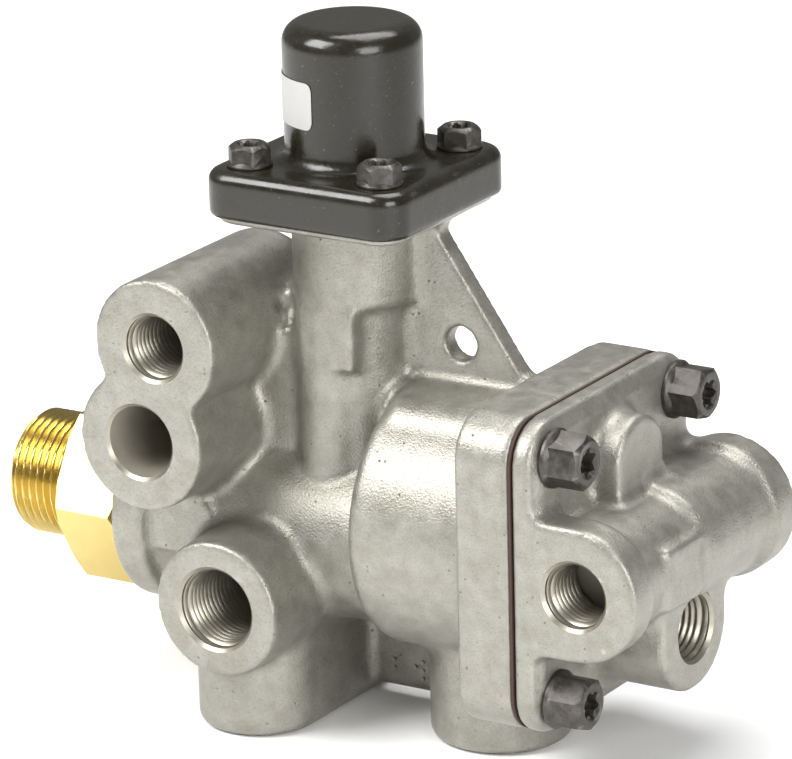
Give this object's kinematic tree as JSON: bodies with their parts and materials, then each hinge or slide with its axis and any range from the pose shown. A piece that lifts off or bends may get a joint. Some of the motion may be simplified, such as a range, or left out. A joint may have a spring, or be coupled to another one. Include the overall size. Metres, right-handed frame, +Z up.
{
  "type": "spring brake valve",
  "caption": "Die-cast pneumatic spring brake valve with a black spring cap, bolted end cover, threaded ports and a brass reservoir nipple.",
  "frame": {"origin": "on the axis of the reservoir nipple, at the inner end of its full threads", "axes": "+X from the nipple to the end cover, +Y to the back, away from the threaded faces, +Z up to the spring cap"},
  "size_m": [0.1649, 0.0685, 0.1484],
  "materials": {
    "cast_aluminium": "die-cast, matt",
    "black_paint": "semi-gloss black paint",
    "black_steel": "black oxide",
    "brass": "machined",
    "turned_brass": "turned",
    "gasket_fibre": "fibre sheet",
    "turned_aluminium": "turned",
    "seal_rubber": "moulded",
    "spring_steel": "drawn wire",
    "black_plastic": "moulded"
  },
  "bodies": {
    "housing": {"body_casting": "cast_aluminium", "spring_cap": "black_paint", "cap_screws": "black_steel", "cover_gasket": "gasket_fibre", "end_cover": "cast_aluminium", "cover_screws": "black_steel", "reservoir_nipple": "brass", "stem_guide": "turned_brass", "stem_seal": "seal_rubber", "inlet_valve_spring": "spring_steel", "piston_return_spring": "spring_steel", "protection_spring": "spring_steel", "spring_washer": "spring_steel", "rear_plug": "turned_aluminium", "rear_plug_seal": "seal_rubber", "retaining_ring": "spring_steel", "exhaust_flap": "seal_rubber", "exhaust_carrier": "black_plastic"},
    "control_piston": {"control_piston": "turned_aluminium", "control_piston_seal": "seal_rubber"},
    "inlet_valve": {"inlet_valve": "seal_rubber"},
    "protection_piston": {"protection_piston": "turned_aluminium", "protection_seal": "seal_rubber"},
    "shuttle": {"shuttle": "turned_brass"}
  },
  "joints": [
    {"name": "protection_piston_slide", "type": "slide", "parent": "housing", "child": "protection_piston", "axis": [0, 0, 1], "range_m": [0, 0.003], "stiffness_N_per_m": 2000, "springref_m": -0.01, "deforming": ["protection_spring"]},
    {"name": "control_piston_slide", "type": "slide", "parent": "housing", "child": "control_piston", "axis": [-1, 0, 0], "range_m": [0, 0.005], "stiffness_N_per_m": 1500, "springref_m": -0.005, "deforming": ["piston_return_spring"]},
    {"name": "inlet_valve_slide", "type": "slide", "parent": "housing", "child": "inlet_valve", "axis": [-1, 0, 0], "range_m": [0, 0.003], "stiffness_N_per_m": 300, "springref_m": -0.005, "deforming": ["inlet_valve_spring"]},
    {"name": "shuttle_slide", "type": "slide", "parent": "housing", "child": "shuttle", "axis": [0, 1, 0], "range_m": [0, 0.004]}
  ],
  "couplings": [
    {"joint": "inlet_valve_slide", "follows": "control_piston_slide", "ratio": 0.6}
  ]
}
